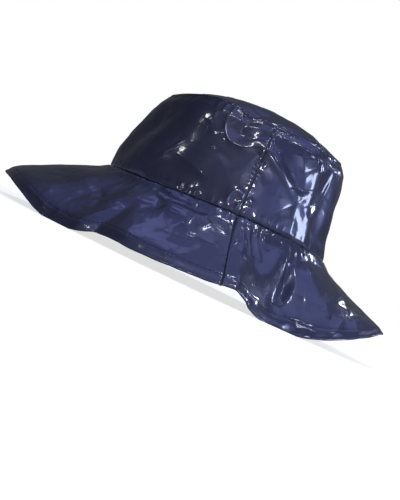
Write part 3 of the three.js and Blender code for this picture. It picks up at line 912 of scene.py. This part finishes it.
def stitch_row(name, panel, turn, share, material):
    """A row of short stitches, half sunk in the cloth, along a line of turns and shares."""
    line = cloth_points(panel, turn, share)
    lengths = np.concatenate([[0], np.cumsum(np.linalg.norm(np.diff(line, axis=0), axis=-1))])
    count = int(lengths[-1] / STITCH_PITCH)
    starts = (np.arange(count) + STITCH_START) * lengths[-1] / count
    normals = surface_normals(panel.surface, turn, share)

    def at(values, where):
        return np.stack([np.interp(where, lengths, values[:, axis]) for axis in range(3)], -1)

    angles = np.linspace(0, 2 * np.pi, STITCH_SIDES, endpoint=False)
    points, faces = [], []
    for start in starts:
        first = len(points)
        a, b = at(line, start), at(line, start + STITCH)
        up = unit(at(normals, start + STITCH / 2))
        forward = unit(b - a)
        across = np.cross(up, forward)
        for along, size in STITCH_RINGS:
            arch = math.sin(math.pi * along) * THREAD * STITCH_ARCH
            middle = a + (b - a) * along + up * (arch + THREAD * STITCH_LIFT)
            for angle in angles:
                spoke = across * math.cos(angle) + up * math.sin(angle)
                points.append(middle + THREAD / 2 * size * spoke)
        for ring in range(len(STITCH_RINGS) - 1):
            for side in range(STITCH_SIDES):
                p = first + ring * STITCH_SIDES + side
                q = first + ring * STITCH_SIDES + (side + 1) % STITCH_SIDES
                faces.append((q, p, p + STITCH_SIDES, q + STITCH_SIDES))
        faces.append(tuple(range(first, first + STITCH_SIDES)))
        last = first + (len(STITCH_RINGS) - 1) * STITCH_SIDES
        faces.append(tuple(range(last + STITCH_SIDES - 1, last - 1, -1)))
    return mesh_piece(name, np.array(points), faces, [material], [0] * len(faces))


# Materials. Each colour runs from a dark shade to a light one.
NAVY = ((0.009, 0.0095, 0.028), (0.014, 0.015, 0.042))
# The near black of the painted shade in the seams' crevices.
CREVICE_SHADE_NAVY = (0.002, 0.002, 0.006)
BACKING_NAVY = ((0.03, 0.032, 0.055), (0.05, 0.053, 0.085))
THREAD_NAVY = ((0.006, 0.006, 0.018), (0.018, 0.019, 0.045))
FLOOR_WHITE = ((0.56, 0.56, 0.57), (0.6, 0.6, 0.6))
ROOM_BLUE = ((0.08, 0.082, 0.088), (0.26, 0.3, 0.58))


def new_material(name):
    material = bpy.data.materials.new(name)
    material.use_nodes = True
    nodes = material.node_tree.nodes
    return material, nodes, material.node_tree.links, nodes["Principled BSDF"]


def noise_node(nodes, links, scale, detail):
    place = nodes.new("ShaderNodeTexCoord")
    texture = nodes.new("ShaderNodeTexNoise")
    texture.inputs["Scale"].default_value = scale
    texture.inputs["Detail"].default_value = detail
    links.new(place.outputs["Object"], texture.inputs["Vector"])
    return texture


def ramp_node(nodes, links, source, positions, colours):
    ramp = nodes.new("ShaderNodeValToRGB")
    for element, position, colour in zip(ramp.color_ramp.elements, positions, colours):
        element.position = position
        element.color = (*colour, 1)
    links.new(source, ramp.inputs["Fac"])
    return ramp


def bump_node(nodes, links, source, strength, distance):
    bumps = nodes.new("ShaderNodeBump")
    bumps.inputs["Strength"].default_value = strength
    bumps.inputs["Distance"].default_value = distance
    links.new(source, bumps.inputs["Height"])
    return bumps


def range_node(nodes, links, source, low, high):
    mapped = nodes.new("ShaderNodeMapRange")
    mapped.inputs["To Min"].default_value = low
    mapped.inputs["To Max"].default_value = high
    links.new(source, mapped.inputs["Value"])
    return mapped


def coated_cloth():
    """Navy vinyl: a soft bluish sheen under a hard clear gloss, with a slight orange peel."""
    material, nodes, links, shader = new_material("coated_cloth")
    shade = noise_node(nodes, links, scale=28, detail=3)
    colour = ramp_node(nodes, links, shade.outputs["Fac"], (0.35, 0.7), NAVY)
    # Painted shade: the base colour darkens to near black along the seams' crevices.
    crevice_shade = nodes.new("ShaderNodeAttribute")
    crevice_shade.attribute_name = "crevice_shade"
    darken = nodes.new("ShaderNodeMix")
    darken.data_type = "RGBA"
    links.new(crevice_shade.outputs["Fac"], darken.inputs["Factor"])
    links.new(colour.outputs["Color"], darken.inputs["A"])
    darken.inputs["B"].default_value = (*CREVICE_SHADE_NAVY, 1)
    links.new(darken.outputs["Result"], shader.inputs["Base Color"])
    wear = noise_node(nodes, links, scale=90, detail=3)
    rough = range_node(nodes, links, wear.outputs["Fac"], low=0.32, high=0.44)
    links.new(rough.outputs["Result"], shader.inputs["Roughness"])
    grain = noise_node(nodes, links, scale=420, detail=2)
    peel = bump_node(nodes, links, grain.outputs["Fac"], strength=0.12, distance=0.0002)
    links.new(peel.outputs["Normal"], shader.inputs["Normal"])
    links.new(peel.outputs["Normal"], shader.inputs["Coat Normal"])
    shader.inputs["Specular IOR Level"].default_value = 0.9
    shader.inputs["Specular Tint"].default_value = (0.55, 0.6, 1, 1)
    shader.inputs["Coat Weight"].default_value = 1
    shader.inputs["Coat Roughness"].default_value = 0.09
    return material


def cloth_back():
    """The matte knitted backing, seen inside the hat."""
    material, nodes, links, shader = new_material("cloth_back")
    shade = noise_node(nodes, links, scale=60, detail=4)
    colour = ramp_node(nodes, links, shade.outputs["Fac"], (0.3, 0.7), BACKING_NAVY)
    links.new(colour.outputs["Color"], shader.inputs["Base Color"])
    place = nodes.new("ShaderNodeTexCoord")
    knit = nodes.new("ShaderNodeTexVoronoi")
    knit.inputs["Scale"].default_value = 900
    links.new(place.outputs["Object"], knit.inputs["Vector"])
    rough = range_node(nodes, links, knit.outputs["Distance"], low=0.95, high=0.8)
    links.new(rough.outputs["Result"], shader.inputs["Roughness"])
    loops = bump_node(nodes, links, knit.outputs["Distance"], strength=0.5, distance=0.0003)
    links.new(loops.outputs["Normal"], shader.inputs["Normal"])
    return material


def thread():
    """Dull twisted sewing thread."""
    material, nodes, links, shader = new_material("thread")
    twist = noise_node(nodes, links, scale=1500, detail=2)
    colour = ramp_node(nodes, links, twist.outputs["Fac"], (0.3, 0.7), THREAD_NAVY)
    links.new(colour.outputs["Color"], shader.inputs["Base Color"])
    rough = range_node(nodes, links, twist.outputs["Fac"], low=0.45, high=0.7)
    links.new(rough.outputs["Result"], shader.inputs["Roughness"])
    plies = bump_node(nodes, links, twist.outputs["Fac"], strength=0.4, distance=0.0001)
    links.new(plies.outputs["Normal"], shader.inputs["Normal"])
    return material


GLOW_NEAR, GLOW_FAR = 0.72, 1  # how brightly the floor glows under the hat and far from it
GLOW_START, GLOW_END = 0.25, 1.4  # metres from the hat between which the glow grows


def pale_floor():
    """A pale studio floor. To the camera it glows, so that its shadows are light and its end is white."""
    material, nodes, links, shader = new_material("pale_floor")
    mottle = noise_node(nodes, links, scale=3, detail=2)
    speckle = ramp_node(nodes, links, mottle.outputs["Fac"], (0, 1), FLOOR_WHITE)
    links.new(speckle.outputs["Color"], shader.inputs["Base Color"])
    shader.inputs["Roughness"].default_value = 0.8
    shader.inputs["Specular IOR Level"].default_value = 0.1
    place = nodes.new("ShaderNodeTexCoord")
    reach = nodes.new("ShaderNodeVectorMath")
    reach.operation = "LENGTH"
    links.new(place.outputs["Object"], reach.inputs[0])
    glow = range_node(nodes, links, reach.outputs["Value"], GLOW_NEAR, GLOW_FAR)
    glow.inputs["From Min"].default_value = GLOW_START
    glow.inputs["From Max"].default_value = GLOW_END
    seen = nodes.new("ShaderNodeLightPath")
    shown = nodes.new("ShaderNodeMath")
    shown.operation = "MULTIPLY"
    links.new(glow.outputs["Result"], shown.inputs[0])
    links.new(seen.outputs["Is Camera Ray"], shown.inputs[1])
    links.new(shown.outputs["Value"], shader.inputs["Emission Strength"])
    shader.inputs["Emission Color"].default_value = (1, 1, 1, 1)
    return material


# The hat's pieces.
def dress(piece, nodes):
    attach(piece, "root")
    if nodes:
        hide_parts(*nodes)


def build_hat():
    vinyl, backing, sewing = coated_cloth(), cloth_back(), thread()
    cloth = [vinyl, backing]
    left, right = SIDE_SEAM_TURN, FULL_TURN - SIDE_SEAM_TURN
    dress(tip_piece("tip_cloth", cloth), ["crown_tip"])
    for part, panel in (("crown_side", SIDE), ("brim", BRIM)):
        front = panel_piece(f"{part}_front_cloth", panel, right - FULL_TURN, left, cloth)
        dress(front, [f"{part}_front"])
        back = panel_piece(f"{part}_back_cloth", panel, left, right, cloth)
        dress(back, [f"{part}_back"])
    round_turns = np.arange(0, FULL_TURN + STITCH_LINE_STEP / 2, STITCH_LINE_STEP)
    hem_share = 1 - (HEM_WIDTH - HEM_STITCH_INSET) / cloth_width(BRIM, round_turns)
    dress(stitch_row("hem_stitches", BRIM, round_turns, hem_share, sewing), [])
    tip_share = np.full(round_turns.shape, 1 - TIP_STITCH_INSET / TIP.width)
    dress(stitch_row("tip_seam_stitches", TIP, round_turns, tip_share, sewing), [])


# The camera, level with the brim on the wearer's left.
CAMERA_DISTANCE = 1150
CAMERA_HEIGHT = 34
CAMERA_SIDEWAYS = 0.7  # from the crown's middle
AIM_HEIGHT = 28.4
PHOTO_ROLL = 25.46  # degrees by which the hat is tilted in the photo
PIXEL = 0.859  # millimetres to a pixel at the hat's middle
PHOTO_HEIGHT = 500
SENSOR = 36


def build_camera():
    data = bpy.data.cameras.new("camera")
    data.sensor_width = SENSOR
    data.lens = SENSOR * CAMERA_DISTANCE / (PHOTO_HEIGHT * PIXEL)
    camera = new_object("camera", data)
    place = Vector((CAMERA_DISTANCE, CROWN_Y + CAMERA_SIDEWAYS, CAMERA_HEIGHT)) * MM
    target = Vector((0, CROWN_Y + CAMERA_SIDEWAYS, AIM_HEIGHT)) * MM
    backwards = (place - target).normalized()
    sideways = Vector((0, 0, 1)).cross(backwards).normalized()
    upwards = backwards.cross(sideways)
    roll = math.radians(PHOTO_ROLL)
    right = sideways * math.cos(roll) + upwards * math.sin(roll)
    up = upwards * math.cos(roll) - sideways * math.sin(roll)
    turned = Matrix((right, up, backwards)).transposed().to_4x4()
    turned.translation = place
    camera.matrix_world = turned
    bpy.context.scene.camera = camera


# The room. Lamps are placed and sized in metres round the hat's middle.
LAMP_AIM_HEIGHT = 90  # millimetres
HAT_MIDDLE = Vector((0, CROWN_Y, LAMP_AIM_HEIGHT)) * MM


def softbox(name, direction, distance, width, height, radiance, colour=(1, 1, 1)):
    """A soft rectangular light that faces the hat, as bright all over as its radiance says."""
    data = bpy.data.lights.new(name, "AREA")
    data.shape = "RECTANGLE"
    data.size = width
    data.size_y = height
    data.energy = radiance * math.pi * width * height
    data.color = colour
    light = new_object(name, data)
    away = Vector(direction).normalized()
    light.location = HAT_MIDDLE + away * distance
    light.rotation_euler = away.to_track_quat("Z", "Y").to_euler()


def compass(azimuth, elevation):
    """The direction at an angle from +X towards +Y, and an angle above the floor."""
    azimuth, elevation = math.radians(azimuth), math.radians(elevation)
    flat = math.cos(elevation)
    return flat * math.cos(azimuth), flat * math.sin(azimuth), math.sin(elevation)


def build_lights():
    """Small bright lamps that the creases mirror as highlights, and broad dim ones that tint the cloth."""
    softbox("window", compass(73, 13), 1.6, 0.44, 0.6, 13, (0.75, 0.85, 1))
    softbox("side_fill", compass(55, 10), 1.7, 2.4, 0.8, 0.72, (0.34, 0.39, 1))
    softbox("front_lamp", compass(-21, 40), 1.5, 0.38, 0.05, 42)
    softbox("left_lamp", compass(-57.5, 23.5), 1.5, 0.02, 0.05, 80)
    softbox("low_lamp", compass(-30, 17), 1.5, 0.03, 0.03, 90)
    softbox("seam_lamp", compass(13, 13), 1.5, 0.15, 0.14, 60)
    softbox("tip_lamp", compass(35, 60), 1.5, 0.14, 0.05, 60)
    softbox("fold_lamp", compass(125, 26), 1.5, 0.26, 0.07, 34, (0.6, 0.68, 1))
    softbox("pucker_lamp", compass(58, 48), 1.5, 0.1, 0.05, 30, (0.75, 0.82, 1))
    softbox("back_lamp", compass(150, 40), 1.5, 0.03, 0.06, 60, (0.8, 0.87, 1))
    softbox("overhead", compass(-126, 68), 1.4, 0.42, 0.36, 1.1, (0.38, 0.41, 1))
    softbox("ceiling_lamp", compass(46, 79), 1.5, 0.22, 0.06, 36, (0.8, 0.87, 1))
    softbox("back_overhead", compass(105, 62), 1.4, 0.8, 0.5, 0.56, (0.36, 0.43, 1))
    softbox("front_ceiling", compass(0, 54), 1.4, 0.5, 0.3, 0.66, (0.44, 0.52, 1))


def build_world():
    """White behind the hat, and for the hat to reflect a dim room with a bluish ceiling."""
    world = bpy.data.worlds.new("room")
    bpy.context.scene.world = world
    world.use_nodes = True
    nodes, links = world.node_tree.nodes, world.node_tree.links
    nodes.clear()
    output = nodes.new("ShaderNodeOutputWorld")
    blend = nodes.new("ShaderNodeMixShader")
    seen = nodes.new("ShaderNodeLightPath")
    place = nodes.new("ShaderNodeTexCoord")
    height = nodes.new("ShaderNodeSeparateXYZ")
    links.new(place.outputs["Generated"], height.inputs["Vector"])
    shades = ramp_node(nodes, links, height.outputs["Z"], (0.68, 0.97), ROOM_BLUE)
    room = nodes.new("ShaderNodeBackground")
    links.new(shades.outputs["Color"], room.inputs["Color"])
    backdrop = nodes.new("ShaderNodeBackground")
    backdrop.inputs["Color"].default_value = (1, 1, 1, 1)
    links.new(seen.outputs["Is Camera Ray"], blend.inputs["Fac"])
    links.new(room.outputs["Background"], blend.inputs[1])
    links.new(backdrop.outputs["Background"], blend.inputs[2])
    links.new(blend.outputs["Shader"], output.inputs["Surface"])


FLOOR_SIZE = 30  # metres
FLOOR_DROP = 0.02  # below the brim, so that the two never touch


def build_floor():
    half = FLOOR_SIZE / 2 / MM
    corners = np.array([(-half, -half, 0), (half, -half, 0), (half, half, 0), (-half, half, 0)], float)
    floor = mesh_piece("floor", corners, [(0, 1, 2, 3)], [pale_floor()], [0])
    floor.location.z = -FLOOR_DROP * MM


build_camera()
build_world()
build_lights()
build_floor()
build_hat()
bpy.context.scene.view_settings.view_transform = "Standard"
